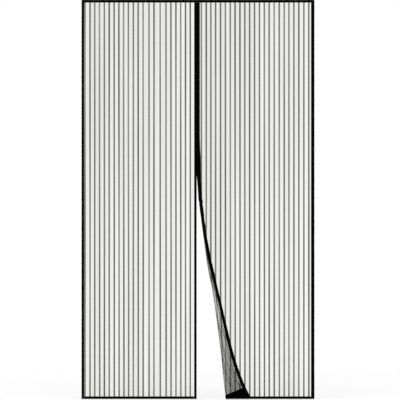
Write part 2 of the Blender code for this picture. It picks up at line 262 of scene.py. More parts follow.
print(f"A floor {1000 * FLOOR_DROP:.0f} mm under the lower edge")

# %% [markdown]
# ## How the corner is turned back
# The turned corner is cloth rolled over a slanted line that starts where the panels part and ends at
# the lower edge. A point of the flat panel is described by how far down that line it lies and how
# far off it. The roll is a half turn of a cone: tight at the split and wide lower down. It could be
# a simulation, but then the solids would not fit it. The solids use the same bands as this roll.

# %% The roll
SPLIT_HEIGHT = 1359 * MM  # the line's upper end
FOOT_DISTANCE = 176.5 * MM  # from the seam to the line's lower end
ROLL_RADIUS = 3 * MM  # at the split
ROLL_BANDS = 15
ROLL_SHAPE = (  # share of the line, drift of the roll from it in mm, extra radius in mm
    (0.00, 0, 0),
    (0.12, -9, 0),
    (0.19, -9, 0),
    (0.26, -9, 14),
    (0.41, -9, 25),
    (0.47, -3, 36),
    (0.55, 5, 53),
    (0.74, 4, 57),
    (0.83, 3, 52),
    (0.90, -1, 35),
    (1.00, 0, 14),
)
TURN_ANGLE = math.atan2(FOOT_DISTANCE, SPLIT_HEIGHT)
TURN_LENGTH = math.hypot(FOOT_DISTANCE, SPLIT_HEIGHT)
BAND_START = -1.5 * ROLL_RADIUS / math.sin(TURN_ANGLE)  # a little above the split
BAND_END = TURN_LENGTH + 10 * MM  # a little below the lower edge


def eased(share):
    """0 to 1, level at both ends."""
    share = min(max(share, 0.0), 1.0)
    return share * share * (3 - 2 * share)


def roll_at(down):
    """Drift and radius of the roll at a distance down the line."""
    share = min(max(down / TURN_LENGTH, 0.0), 1.0)
    for (low, drift, extra), (high, next_drift, next_extra) in zip(ROLL_SHAPE, ROLL_SHAPE[1:]):
        if share <= high:
            part = eased((share - low) / (high - low))
            break
    drift += (next_drift - drift) * part
    extra += (next_extra - extra) * part
    return drift * MM, ROLL_RADIUS + extra * MM


BAND_LENGTH = (BAND_END - BAND_START) / ROLL_BANDS
BAND_ROLLS = [roll_at(BAND_START + BAND_LENGTH * number) for number in range(ROLL_BANDS + 1)]


def roll_between(down):
    """Drift and radius in the bands that the solids have too."""
    place = (down - BAND_START) / BAND_LENGTH
    number = min(max(int(place), 0), ROLL_BANDS - 1)
    (drift, radius), (next_drift, next_radius) = BAND_ROLLS[number : number + 2]
    part = place - number
    return drift + (next_drift - drift) * part, radius + (next_radius - radius) * part


print(f"The roll is up to {1000 * max(radius for _, radius in BAND_ROLLS):.0f} mm in radius")

# %% [markdown]
# Net, tape, hem, patch, magnets and stitches all pass through one function, `turned`, so that their
# layers stay together as sewn cloth does. It bends the cloth round the roll and lays the rest flat in
# front of the panel. Just below the split that rest is drawn out, because the corner pulls on it, and
# the free corner sinks along the line.

# %% Turning the cloth
CORNER_DROP = 30 * MM
DROP_START = 0.66  # share of the line above which nothing sinks
DRAWN_OUT = (  # mm down the line, how much the turned cloth is drawn out there
    (70, 1.0),
    (104, 3.6),
    (165, 2.3),
    (200, 1.45),
    (245, 1.1),
    (285, 1.02),
    (330, 1.15),
    (380, 1.0),
    (600, 1.0),
    (700, 0.97),
    (860, 0.975),
    (950, 0.99),
    (1080, 0.97),
    (1180, 0.965),
    (1240, 0.965),
    (1340, 0.985),
)


def read_off(table, at):
    """A smooth curve through a table of (place, value) points, level beyond its ends."""
    if at <= table[0][0]:
        return table[0][1]
    for (low, value), (high, next_value) in zip(table, table[1:]):
        if at <= high:
            return value + (next_value - value) * eased((at - low) / (high - low))
    return table[-1][1]


def line_place(x, height):
    """Distances down the slanted line and off it."""
    across = x - SEAM_X
    above = height - SPLIT_HEIGHT
    down = across * math.sin(TURN_ANGLE) - above * math.cos(TURN_ANGLE)
    off = across * math.cos(TURN_ANGLE) + above * math.sin(TURN_ANGLE)
    return down, off


def hung(x, height, depth):
    """A point of a flat panel in the hanging screen."""
    return Vector((x, PANEL_Y + depth, FOOT_Z + height))


def turned(x, height, depth):
    """A point of the right panel once its corner is rolled back."""
    down, off = line_place(x, height)
    drift, radius = roll_between(down)
    cloth = drift - off + radius
    if cloth <= 0 or down < BAND_START:
        return hung(x, height, depth)
    side = math.pi * radius / 2
    edge_cloth = drift + down * math.tan(TURN_ANGLE) + radius
    drop_share = (cloth - side) / (edge_cloth - side) if cloth > side < edge_cloth else 0.0
    if cloth > side:
        cloth = side + (cloth - side) * read_off(DRAWN_OUT, down / MM)
    angle = cloth / radius
    if angle < math.pi:
        new_off = radius - (radius + depth) * math.sin(angle)
        y = (radius + depth) * math.cos(angle) - radius
    else:
        new_off = radius + cloth - math.pi * radius
        y = -2 * radius - depth
    low_part = eased((down / TURN_LENGTH - DROP_START) / (1 - DROP_START))
    down += CORNER_DROP * min(drop_share, 1.0) * low_part
    new_off += drift
    new_x = SEAM_X + math.sin(TURN_ANGLE) * down + math.cos(TURN_ANGLE) * new_off
    new_height = SPLIT_HEIGHT - math.cos(TURN_ANGLE) * down + math.sin(TURN_ANGLE) * new_off
    return hung(new_x, new_height, y)


corner = turned(SEAM_X, 0, 0)
print(f"The free corner ends {1000 * (PANEL_Y - corner.y):.0f} mm in front of the panel")

# %% [markdown]
# ## Cutting cloth
# Each cloth piece starts as a flat grid, which is how cloth is cut. Its columns and rows are moved to
# where the pattern needs them: closer at stripes and folds, wider between. The flat place of every
# point is kept as a UV map in metres, so a weave stays on its threads when the cloth bends. Then the
# grid is folded or rolled point by point, and a Solidify modifier gives it its thickness.

# %% Helpers for cloth
CLOTH_SMOOTH_ANGLE = math.radians(40)


def cut_cloth(name, columns, rows):
    """A flat grid with its lines at the given places, and a UV map in metres."""
    bpy.ops.object.select_all(action="DESELECT")
    bpy.ops.mesh.primitive_grid_add(
        x_subdivisions=len(columns) - 1,
        y_subdivisions=len(rows) - 1,
        size=2,
        location=(0, 0, 0),
    )
    cloth = bpy.context.object
    cloth.name = name
    cloth.data.name = name
    across = (len(columns) - 1) / 2
    along = (len(rows) - 1) / 2
    cells = []
    for vert in cloth.data.vertices:
        column = round((vert.co.x + 1) * across)
        row = round((vert.co.y + 1) * along)
        cells.append((column, row))
        vert.co = (columns[column], rows[row], 0)
    uv_layer = cloth.data.uv_layers[0]
    for loop, corner_uv in zip(cloth.data.loops, uv_layer.data):
        column, row = cells[loop.vertex_index]
        corner_uv.uv = (columns[column], rows[row])
    return cloth, cells


def select_only(piece):
    """Leaves one object selected and active."""
    bpy.ops.object.select_all(action="DESELECT")
    piece.select_set(True)
    bpy.context.view_layer.objects.active = piece


def thicken(cloth, thickness, group=""):
    """Gives a sheet its thickness, evenly to both sides, and smooth shading."""
    select_only(cloth)
    bpy.ops.object.modifier_add(type="SOLIDIFY")
    solidify = cloth.modifiers[-1]
    solidify.thickness = thickness
    solidify.offset = 0
    if group:
        solidify.vertex_group = group
        solidify.thickness_vertex_group = NET_THICKNESS / STRIPE_THICKNESS
    bpy.ops.object.modifier_apply(modifier=solidify.name)
    bpy.ops.object.shade_smooth_by_angle(angle=CLOTH_SMOOTH_ANGLE)


def spaced(low, high, most):
    """Places from low to high, no further apart than most."""
    count = max(1, math.ceil((high - low) / most))
    return [low + (high - low) * n / count for n in range(count + 1)]


def finish_piece(piece, body_slot, *nodes):
    """What every piece of cloth needs: its body and the solid that it stands for. Its slot is not used.
    """
    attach(piece, "root")
    if nodes:
        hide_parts(*nodes)
    print(f"{piece.name}: {len(piece.data.polygons)} faces")


print(f"A row of 1 m in steps of 14 mm has {len(spaced(0, 1, 14 * MM))} places")

# %% [markdown]
# ## Net finish
# The net is warp-knitted black polyester with holes of about a millimetre, so the eye sees a veil
# that dims what is behind by about a fifth. Modelling each thread would take millions of faces, so
# the veil is the shader's alpha. A small grid of threads is drawn into it, 3 mm apart where the real
# ones are 1.2 mm, because a finer one would be lost in the texture. Each space between two stripes
# has its own slight tone, as loosely knitted net has. The flat net and stripes are coloured a pale
# olive, lighter than their black thread: that is painted light glinting through the sparse threads.
# Where the cloth is bunched in the roll, its threads lie closer and shade each other, and that shade
# is painted into the colour as a dark grey. The stripes are knitted dense.

# %% Net materials
THREAD_SPACING = 3 * MM
TONE_STRETCH = (40.0, 0.7, 1.0)  # one tone for every 25 mm across, in patches over a metre long
TONE_SPREAD = 0.2
THREAD_DEPTH = 0.3 * MM


def thread_waves(tree, spacing):
    """Two crossing waves, -1 between threads and 1 on them, on the cloth's own UV map."""
    uv = add_node(tree, "ShaderNodeUVMap", {"uv_map": "UVMap"})
    split = add_node(tree, "ShaderNodeSeparateXYZ", {}, {0: uv.outputs[0]})
    waves = []
    for axis in (0, 1):
        phase = calculate(tree, "MULTIPLY", split.outputs[axis], 2 * math.pi / spacing)
        waves.append(calculate(tree, "COSINE", phase))
    return uv, calculate(tree, "MAXIMUM", *waves)


def net_finish(name, colour, bunched_shade_colour, veil, bunched_veil, grain):
    """A see-through knit: veil is how much one face covers lying flat, and bunched_veil how much in the
    roll.
    """
    material, tree, shader = new_finish(name, colour, roughness=0.85, specular=0.1)
    uv, high = thread_waves(tree, THREAD_SPACING)
    bunched_and_painted_light = add_node(tree, "ShaderNodeAttribute", {"attribute_name": "bunched_and_painted_light"}).outputs["Fac"]
    # The darker grey where the net is bunched is painted shade, as its threads shade each other
    tint(tree, shader, bunched_and_painted_light, colour, bunched_shade_colour)
    stretch = add_node(tree, "ShaderNodeMapping", {"Scale": TONE_STRETCH}, {0: uv.outputs[0]})
    tone = add_node(tree, "ShaderNodeTexNoise", {"Scale": 1.0, "Detail": 1.0}, {0: stretch.outputs[0]})
    low_veil = veil * (1 - TONE_SPREAD)
    high_veil = veil * (1 + TONE_SPREAD)
    flat_veil = ranged(tree, tone.outputs[0], low_veil, high_veil, start=0.3, end=0.7)
    added = calculate(tree, "MULTIPLY", bunched_and_painted_light, bunched_veil - veil)
    cover = calculate(tree, "ADD", added, flat_veil)
    hole = 1 - 1.4 * grain
    thread = 1 + 0.6 * grain
    weave = ranged(tree, high, hole, thread, start=-1.0, end=1.0)
    alpha = calculate(tree, "MULTIPLY", cover, weave, clamp=True)
    tree.links.new(alpha, shader.inputs["Alpha"])
    emboss(tree, shader, high, 0.4, THREAD_DEPTH)
    return material


FLAT_VEIL = 0.112
BUNCHED_VEIL = 0.46
# The pale olive of flat net and stripes is painted light through their black threads; the dark greys of
# bunched net are painted shade
net_material = net_finish("knitted_polyester_net", "#80884c", "#3c3c3a", FLAT_VEIL, BUNCHED_VEIL, 0.5)
stripe_material = net_finish("dense_knitted_stripe", "#454730", "#343433", 0.61, 0.55, 0.12)
print("Net and stripe finishes")

# %% [markdown]
# ## Net panels
# Each panel is one piece of net, held in the tapes all round. The grid's columns follow the stripes,
# whose faces get the denser finish and a little more thickness. Real knit is never quite even: single
# stripes lean by up to 2 mm between header and hem. Broad upright bands of painted light and shade,
# where the net billows, are drawn as a thinner or closer veil. Both are short lists, read off smoothly
# from one place to the next.

# %% Lean of the stripes, painted bands of light and shade, and looseness of the knit
LEFT_LEAN = {  # stripe: how far it leans off its place at the header and at the hem, in mm
    2: (0.8, 1.2),
    4: (-0.5, 0.9),
    7: (0.9, 1.7),
    8: (0.0, 2.0),
    9: (-0.8, 1.4),
    10: (-0.8, 0.9),
    12: (0.3, 0.9),
    13: (0.9, 1.4),
    14: (1.1, 1.3),
    16: (0.4, 1.1),
    17: (0.9, 1.9),
    18: (0.9, 1.5),
    19: (0.6, 0.9),
    20: (0.5, 1.3),
    21: (0.5, 0.7),
}
RIGHT_LEAN = {
    5: (0.4, 1.2),
    6: (0.7, 1.0),
    7: (0.8, 2.0),
    8: (0.7, 2.1),
    9: (1.0, 2.0),
    10: (1.4, 1.8),
    11: (0.0, 1.1),
    12: (0.5, 1.7),
    13: (1.2, 1.9),
    14: (0.0, 1.0),
    15: (0.4, 0.8),
    17: (1.1, 2.1),
    18: (0.9, 0.6),
    19: (-0.7, 0.0),
    20: (-0.9, -0.4),
    22: (-0.6, -0.6),
    23: (0.0, 0.4),
}
BILLOW_LIGHT_BANDS = (  # place across in mm, how much thinner the veil is drawn there, as painted light and shade of broad billows
    (-690, 0.006),
    (-586, -0.02),
    (-514, 0.012),
    (-440, 0.0),
    (-225, 0.0),
    (-150, 0.02),
    (-60, 0.035),
    (60, -0.01),
    (150, -0.015),
    (215, 0.015),
    (290, 0.0),
    (370, 0.02),
    (450, 0.022),
    (530, 0.005),
    (640, 0.04),
)
LOOSE_LOW = 0.022  # how much thinner the knit is in the lower half than at the top
LOOSE_START = 700 * MM
LOOSE_LENGTH = 900 * MM


def stripe_centres(first_x, end_x, pitch, uneven):
    """Where the stripes of a panel lie, up to its far tape."""
    centres = []
    x = first_x
    while x + STRIPE_WIDTH / 2 < end_x:
        centres.append(x)
        x += pitch + uneven.get(len(centres), 0) * MM
    return centres


def lean(x, height, low_x, high_x, centres, leans):
    """How far a point of the net is pulled sideways with the stripes beside it."""
    share = eased((TOP - height) / TOP)
    pulls = [(low_x, 0.0)]
    for number, centre in enumerate(centres, start=1):
        at_top, at_foot = leans.get(number, (0.0, 0.0))
        pull = (at_top + (at_foot - at_top) * share) * MM
        pulls += [(centre - STRIPE_WIDTH / 2, pull), (centre + STRIPE_WIDTH / 2, pull)]
    pulls.append((high_x, 0.0))
    for (start, pull), (end, next_pull) in zip(pulls, pulls[1:]):
        if x <= end:
            return pull + (next_pull - pull) * max(x - start, 0.0) / (end - start)
    return 0.0


def looseness_and_painted_light(x, height):
    """How much thinner than usual the flat veil is at a point."""
    low = eased((TOP - height - LOOSE_START) / LOOSE_LENGTH)
    # The bands across are painted light and shade of the billowing net, drawn as a thinner or closer
    # veil
    return read_off(BILLOW_LIGHT_BANDS, x / MM) + LOOSE_LOW * low


left_stripes = stripe_centres(
    LEFT_EDGE + LEFT_FIRST_STRIPE,
    SEAM_X - LEFT_TAPE_WIDTH,
    LEFT_PITCH,
    LEFT_UNEVEN,
)
right_stripes = stripe_centres(
    SEAM_X + RIGHT_FIRST_STRIPE,
    RIGHT_EDGE - RIGHT_TAPE_WIDTH,
    RIGHT_PITCH,
    RIGHT_UNEVEN,
)
print(f"{len(left_stripes)} stripes left, {len(right_stripes)} right")

# %% [markdown]
# In the turned corner the knit is bunched into streaks along the cloth, closest in the tight upper
# part of the roll. Beside the tape it is drawn darker, and low down that is the tape's painted shadow.
# On the roll's outer side, spots of painted shade and painted highlight are drawn as closer and
# thinner knit, and high up the net away from the tape is drawn paler. Each such place is a soft spot
# or a soft step, counted in metres down the roll's line, in steps past the roll's outer side, or in
# metres from the cloth's free edge. The sum goes to the cloth as an attribute, which the net's finish
# reads for its cover and for a darker colour, which is painted shade.

# %% How bunched the turned net is, with its painted shade and highlights
STREAK_ACROSS = 11 * MM
STREAK_ALONG = 500 * MM
SIDE_STEP = 37 * MM
EVEN_BUNCH = 0.76
STREAK_BUNCH = 1.25
TIGHT_BUNCH = 0.7
TIGHT_OUTWARD = 0.35  # more of it away from the outer side
TIGHT_SPOT = (0.58, 0.14)
SHADE_AND_HIGHLIGHT_SPOTS = (  # amount, middle and reach down the line, middle and reach past the side: painted shade on the roll's outer side where the amount is above 0, painted highlights where it is below
    (0.35, 0.81, 0.06, 0.3, 0.3),
    (-0.9, 0.83, 0.045, 1.15, 0.35),
    (-1.7, 0.712, 0.04, 0.25, 0.75),
)
RIM_BUNCH = 0.7  # at the outer side itself, low down
RIM_REACH = 0.12
RIM_START = (1.05, 0.12)
LOW_BUNCH = 0.4
LOW_START = (1.12, 0.1)
LOW_PAST_SIDE = (0.3, 1.2)
TAPE_SHADOW = 1.3  # the tape's painted shadow on the net beside it, low down
TAPE_SHADOW_SPOT = (0.028, 0.014)
TAPE_SHADOW_START = (1.04, 0.08)
UPPER_START = (0.34, 0.06)
DARK_EDGE = 1.5  # beside the tape, high up
DARK_EDGE_END = (0.72, 0.06)
PALE_SIDE = 1.4  # and paler further from it
PALE_SIDE_END = (0.55, 0.05)
TAPE_REACH = (0.026, 0.008)
RAMP = (0.72, 0.3)  # share of the way to the outer side


def spot(value, middle, reach):
    """1 in the middle of a soft spot, fading away past its reach."""
    return math.exp(-(((value - middle) / reach) ** 2))


def rise(value, start, length):
    """0 before a place and 1 past it, with a soft step of a given length between."""
    return eased((value - start) / length)


def bunching_and_painted_light(x, height):
    """0 on flat net, and up to about 3 in streaks on the turned side."""
    down, off = line_place(x, height)
    drift, radius = roll_between(down)
    cloth = drift - off + radius
    side = math.pi * radius / 2
    if cloth <= 0 or down < BAND_START:
        return 0.0
    past_side = (cloth - side) / SIDE_STEP
    from_edge = off + down * math.tan(TURN_ANGLE)
    off_tape = rise(from_edge, *TAPE_REACH)
    upper = rise(down, *UPPER_START)
    bunch_and_painted_light = EVEN_BUNCH + STREAK_BUNCH * noise.noise(
        Vector((cloth / STREAK_ACROSS, down / STREAK_ALONG, 7.0))
    )
    bunch_and_painted_light += (TIGHT_BUNCH + TIGHT_OUTWARD * eased(past_side)) * spot(down, *TIGHT_SPOT)
    # Painted shade and painted highlights on the roll's outer side
    for amount, middle, reach, side_middle, side_reach in SHADE_AND_HIGHLIGHT_SPOTS:
        bunch_and_painted_light += amount * spot(down, middle, reach) * spot(past_side, side_middle, side_reach)
    bunch_and_painted_light += RIM_BUNCH * spot(cloth / side, 1, RIM_REACH) * rise(down, *RIM_START)
    bunch_and_painted_light += LOW_BUNCH * rise(down, *LOW_START) * rise(past_side, *LOW_PAST_SIDE)
    # The tape's painted shadow on the net beside it, low down
    bunch_and_painted_light += TAPE_SHADOW * spot(from_edge, *TAPE_SHADOW_SPOT) * rise(down, *TAPE_SHADOW_START)
    bunch_and_painted_light += DARK_EDGE * upper * (1 - rise(down, *DARK_EDGE_END)) * (1 - off_tape)
    bunch_and_painted_light -= PALE_SIDE * upper * (1 - rise(down, *PALE_SIDE_END)) * off_tape
    return max(0.0, rise(cloth / side, *RAMP) * bunch_and_painted_light)


sample_height = 760 * MM
sample = bunching_and_painted_light(SEAM_X, sample_height)
print(f"On the free edge at {sample_height:.2f} m the net is bunched {sample:.1f}")

# %% [markdown]
# The right net goes through the roll. A flat sheet would look like glass, so both nets billow by a few
# millimetres between the tapes, which is done with smooth noise that fades out at the edges.

# %% Left and right net
SLOT_IN_TAPE = 1.35 * MM
SLOT_IN_POCKET = 10.9 * MM
STRIPE_SHOULDER = 0.6 * MM
NET_ROW_STEP = 14 * MM
COLUMN_STEP = 8 * MM
ROLLED_COLUMN_STEP = 5 * MM
BILLOW = 5 * MM
BILLOW_MARGIN = 22 * MM
BILLOW_FADE = 120 * MM
BILLOW_ACROSS = 3.1  # waves in a metre
BILLOW_UP = 1.7


def billow(x, height):
    """How far the net stands off its plane, none at the tapes."""
    low_x, high_x = (LEFT_EDGE, SEAM_X) if x < SEAM_X else (SEAM_X, RIGHT_EDGE)
    inside = min(x - low_x, high_x - x, height, TOP - height) - BILLOW_MARGIN
    wave = noise.noise(Vector((x * BILLOW_ACROSS, height * BILLOW_UP, 2.0)))
    return BILLOW * eased(inside / BILLOW_FADE) * wave


def net_columns(low_x, high_x, centres, most):
    """Columns at the stripes' edges, shoulders and middles, and evenly spaced between stripes."""
    half = STRIPE_WIDTH / 2
    columns = [low_x]
    for x in centres:
        columns += spaced(columns[-1], x - half, most)[1:]
        columns += [x - half + STRIPE_SHOULDER, x, x + half - STRIPE_SHOULDER, x + half]
    columns += spaced(columns[-1], high_x, most)[1:]
    return columns


def sew_net(name, low_x, high_x, centres, leans, most, place, node):
    """Cuts a panel, marks its stripes, hangs it and gives it its thickness."""
    columns = net_columns(low_x, high_x, centres, most)
    rows = spaced(SLOT_IN_POCKET, TOP - SLOT_IN_TAPE, NET_ROW_STEP)
    cloth, cells = cut_cloth(name, columns, rows)
    cloth.data.materials.append(net_material)
    cloth.data.materials.append(stripe_material)
    group = cloth.vertex_groups.new(name="stripe")
    reach = STRIPE_WIDTH / 2 - STRIPE_SHOULDER / 2
    raised = [any(abs(x - centre) < reach for centre in centres) for x in columns]
    group.add([n for n, (column, _) in enumerate(cells) if raised[column]], 1.0, "REPLACE")
    for face in cloth.data.polygons:
        if any(abs(face.center.x - centre) < STRIPE_WIDTH / 2 for centre in centres):
            face.material_index = 1
    # The attribute holds how bunched the net is, with painted shade and painted highlights added, and
    # on flat net painted bands of light and shade
    bunched_and_painted_light = cloth.data.attributes.new("bunched_and_painted_light", "FLOAT", "POINT")
    for vert, mark in zip(cloth.data.vertices, bunched_and_painted_light.data):
        x, height = vert.co.x, vert.co.y
        bunch_and_painted_light = bunching_and_painted_light(x, height) if place is turned else 0.0
        # On flat net this holds the painted bands of light and shade, as a thinner or closer veil
        mark.value = bunch_and_painted_light or -looseness_and_painted_light(x, height) / (BUNCHED_VEIL - FLAT_VEIL)
        x += lean(x, height, low_x, high_x, centres, leans)
        vert.co = place(x, height, billow(x, height))
    thicken(cloth, STRIPE_THICKNESS, group="stripe")
    finish_piece(cloth, "net", node)
    return cloth


net_left = sew_net(
    "net_cloth_left",
    LEFT_EDGE + SLOT_IN_TAPE,
    SEAM_X - SLOT_IN_POCKET,
    left_stripes,
    LEFT_LEAN,
    COLUMN_STEP,
    hung,
    "net_left",
)
net_right = sew_net(
    "net_cloth_right",
    SEAM_X + SLOT_IN_POCKET,
    RIGHT_EDGE - SLOT_IN_TAPE,
    right_stripes,
    RIGHT_LEAN,
    ROLLED_COLUMN_STEP,
    turned,
    "net_right",
)
print(f"The nets are {NET_THICKNESS / MM:.1f} mm thick, and {STRIPE_THICKNESS / MM:.1f} mm at stripes")

# %% [markdown]
# ## Tape finish
# The edging is narrow polyester tape, woven on a loom and dyed black. It is matt and swallows nearly
# all light, so its shine is turned far down. The weave gives it fine ribs across its length, drawn
# here 2 mm apart where real ones are 0.5 mm, and a slight unevenness of dye.

# %% Tape materials
TAPE_RIBS = 2 * MM
PATCH_RIBS = 1.6 * MM
RIB_HEIGHT = 0.4 * MM
WEAR_PATCHES = 60.0  # in a metre


def tape_finish(name, dark, pale, spacing, roughness):
    """Matt woven cloth: two close tones, and ribs in the bump."""
    material, tree, shader = new_finish(name, dark, roughness, specular=0.01)
    uv, high = thread_waves(tree, spacing)
    wear = add_node(
        tree,
        "ShaderNodeTexNoise",
        {"Scale": WEAR_PATCHES, "Detail": 3.0},
        {0: uv.outputs[0]},
    )
    tint(tree, shader, wear.outputs[0], dark, pale)
    emboss(tree, shader, high, 0.6, RIB_HEIGHT)
    return material


tape_material = tape_finish("woven_polyester_tape", "#040405", "#090909", TAPE_RIBS, 0.9)
patch_material = tape_finish("plain_weave_patch_cloth", "#040404", "#090909", PATCH_RIBS, 0.95)
print("Tape and patch finishes")

# %% [markdown]
# ## Folded tapes
# A tape is one long strip, folded lengthwise over the edge of the net and sewn through. So it is cut
# as a flat strip and folded along its section: up one side, round the edge and back down the other.
# The tapes with magnets or a weight bulge into a pocket behind the fold. The two inner tapes touch at
# the seam, because the magnets pull them together.

# %% Tape sections
FOLD_STEPS = 8
ACROSS_STEP = 3 * MM


def folded_section(width, pocket=False):
    """The middle of a folded leaf, as (distance from the folded edge, depth) points."""
    edge_half = POCKET_HALF if pocket else PLAIN_HALF
    radius = edge_half + LEAF / 2
    fold = []
    for step in range(FOLD_STEPS + 1):
        angle = -math.pi / 2 + math.pi * step / FOLD_STEPS
        fold.append((radius - edge_half * math.cos(angle), edge_half * math.sin(angle)))
    side = []
    if pocket:
        pocket_end = radius + POCKET_WIDTH
        plain_start = pocket_end + STEP_LENGTH
        side += [(at, POCKET_HALF) for at in spaced(radius, pocket_end, ACROSS_STEP)[1:]]
        side += [(plain_start, PLAIN_HALF)]
        side += [(at, PLAIN_HALF) for at in spaced(plain_start, width, ACROSS_STEP)[1:]]
    else:
        side += [(at, PLAIN_HALF) for at in spaced(radius, width, ACROSS_STEP)[1:]]
    return [(at, -depth) for at, depth in reversed(side)] + fold + side


def strip_places(section):
    """How far each point of a section lies across the flat strip."""
    places = [0.0]
    for (at, depth), (next_at, next_depth) in zip(section, section[1:]):
        places.append(places[-1] + math.hypot(next_at - at, next_depth - depth))
    return places


def sew_tape(name, section, rows, upright, edge, inward, node, place=hung, slot="woven_tape"):
    """Cuts a strip, folds it and hangs it along a panel's edge. Also gives its flat size."""
    across = strip_places(section)
    cloth, cells = cut_cloth(name, across, rows)
    cloth.data.materials.append(tape_material)
    for vert, (column, row) in zip(cloth.data.vertices, cells):
        at, depth = section[column]
        if upright:
            vert.co = place(edge + inward * at, rows[row], depth)
        else:
            vert.co = place(rows[row], edge + inward * at, depth)
    thicken(cloth, LEAF)
    finish_piece(cloth, slot, node)
    return cloth, (across[-1], rows[-1] - rows[0])


MARGIN_PULL = (  # height in mm, how far the right inner tape's margin is dragged there, in mm
    (1130, 0.0),
    (1200, 12.0),
    (1255, 10.0),
    (1320, 7.0),
    (1375, 6.0),
    (1590, 0.0),
)


def dragged(x, height, depth):
    """A point of the inner tape, whose margin is dragged sideways before the tape is rolled."""
    margin = eased((x - SEAM_X - SLOT_IN_POCKET) / (RIGHT_TAPE_WIDTH - SLOT_IN_POCKET))
    return turned(x + read_off(MARGIN_PULL, height / MM) * MM * margin, height, depth)


side_top = TOP - TOP_TAPE_WIDTH - PIECE_GAP
HEADER_STEP = 14 * MM
TAPE_STEP = 12 * MM
ROLLED_TAPE_STEP = 8 * MM
ROLLED_HEM_STEP = 6 * MM
side_rows = spaced(0, side_top, TAPE_STEP)
print(f"A tape fold has {FOLD_STEPS} flats")

# %% Header and outer tapes
header, header_flat = sew_tape(
    "header_tape",
    folded_section(TOP_TAPE_WIDTH),
    spaced(LEFT_EDGE, RIGHT_EDGE, HEADER_STEP),
    upright=False,
    edge=TOP,
    inward=-1,
    node="tape_top",
)
outer_left, outer_left_flat = sew_tape(
    "outer_tape_left",
    folded_section(OUTER_LEFT_WIDTH),
    side_rows,
    upright=True,
    edge=LEFT_EDGE,
    inward=1,
    node="tape_outer_left",
)
outer_right, outer_right_flat = sew_tape(
    "outer_tape_right",
    folded_section(OUTER_RIGHT_WIDTH),
    side_rows,
    upright=True,
    edge=RIGHT_EDGE,
    inward=-1,
    node="tape_outer_right",
)
print(f"The header strip was cut {1000 * header_flat[0]:.1f} mm wide")

# %% Inner tapes
inner_left, inner_left_flat = sew_tape(
    "inner_tape_left",
    folded_section(LEFT_TAPE_WIDTH, pocket=True),
    side_rows,
    upright=True,
    edge=SEAM_X,
    inward=-1,
    node="tape_inner_left",
)
inner_right, inner_right_flat = sew_tape(
    "inner_tape_right",
    folded_section(RIGHT_TAPE_WIDTH, pocket=True),
    spaced(0, side_top, ROLLED_TAPE_STEP),
    upright=True,
    edge=SEAM_X,
    inward=1,
    place=dragged,
    node="tape_inner_right",
)
print(f"The inner strips were cut {1000 * inner_right_flat[0]:.1f} mm wide at most")

# %% Hems
hem_left_start = LEFT_EDGE + OUTER_LEFT_WIDTH + PIECE_GAP
hem_right_start = SEAM_X + RIGHT_TAPE_WIDTH + PIECE_GAP
hem_left, hem_left_flat = sew_tape(
    "hem_cloth_left",
    folded_section(HEM_WIDTH, pocket=True),
    spaced(hem_left_start, SEAM_X - LEFT_TAPE_WIDTH - PIECE_GAP, TAPE_STEP),
    upright=False,
    edge=0,
    inward=1,
    node="hem_left",
    slot="hem_tape",
)
hem_right, hem_right_flat = sew_tape(
    "hem_cloth_right",
    folded_section(HEM_WIDTH, pocket=True),
    spaced(hem_right_start, RIGHT_EDGE - OUTER_RIGHT_WIDTH - PIECE_GAP, ROLLED_HEM_STEP),
    upright=False,
    edge=0,
    inward=1,
    place=turned,
    node="hem_right",
    slot="hem_tape",
)
print(f"Hems {1000 * hem_left_flat[1]:.0f} and {1000 * hem_right_flat[1]:.0f} mm long")

# %% [markdown]
# ## Corner patch
# A patch of closer cloth strengthens the reverse of the lower inner corner. It is tall beside the
# inner tape and tapers along the hem. The grid's rows are squeezed under its slanting upper edge, and
# then it takes the same roll as the panel under it.

# %% Corner patch
PATCH_LENGTH = 165 * MM
PATCH_HEIGHT = 62 * MM
PATCH_TAIL = 20 * MM
PATCH_MARGIN = 1.5 * MM
PATCH_THICKNESS = 0.5 * MM
PATCH_DEPTH = 1.85 * MM  # from the net's middle to the patch's middle
PATCH_ROWS = 14
PATCH_STEP = 4 * MM
HALF_SEAM_GAP = 0.41 * MM  # half the space between the two panels


def patch_top(along):
    """Height of the patch's upper edge at a distance along it."""
    if along <= RIGHT_TAPE_WIDTH:
        return PATCH_HEIGHT
    share = (along - RIGHT_TAPE_WIDTH) / (PATCH_LENGTH - RIGHT_TAPE_WIDTH)
    return PATCH_HEIGHT + (PATCH_TAIL - PATCH_HEIGHT) * share


patch_columns = spaced(0, RIGHT_TAPE_WIDTH, PATCH_STEP)
patch_columns += spaced(RIGHT_TAPE_WIDTH, PATCH_LENGTH, PATCH_STEP)[1:]
patch, _ = cut_cloth("corner_patch_cloth", patch_columns, spaced(0, 1, 1 / PATCH_ROWS))
patch_low_x = SEAM_X + HALF_SEAM_GAP + PATCH_MARGIN
patch_uv = patch.data.uv_layers[0]
patch_heights = []
for vert in patch.data.vertices:
    along, share = vert.co.x, vert.co.y
    height = PATCH_MARGIN + (patch_top(along) - PATCH_MARGIN) * share
    patch_heights.append(height)
    vert.co = turned(patch_low_x + along, height, PATCH_DEPTH)
for loop, corner_uv in zip(patch.data.loops, patch_uv.data):
    corner_uv.uv.y = patch_heights[loop.vertex_index]
patch.data.materials.append(patch_material)
thicken(patch, PATCH_THICKNESS)
finish_piece(patch, "patch_cloth", "corner_patch")
patch_area = RIGHT_TAPE_WIDTH * PATCH_HEIGHT
patch_area += (PATCH_LENGTH - RIGHT_TAPE_WIDTH) * (PATCH_HEIGHT + PATCH_TAIL) / 2
patch_area -= PATCH_LENGTH * PATCH_MARGIN
print(f"The patch was cut from {10000 * patch_area:.0f} square centimetres")

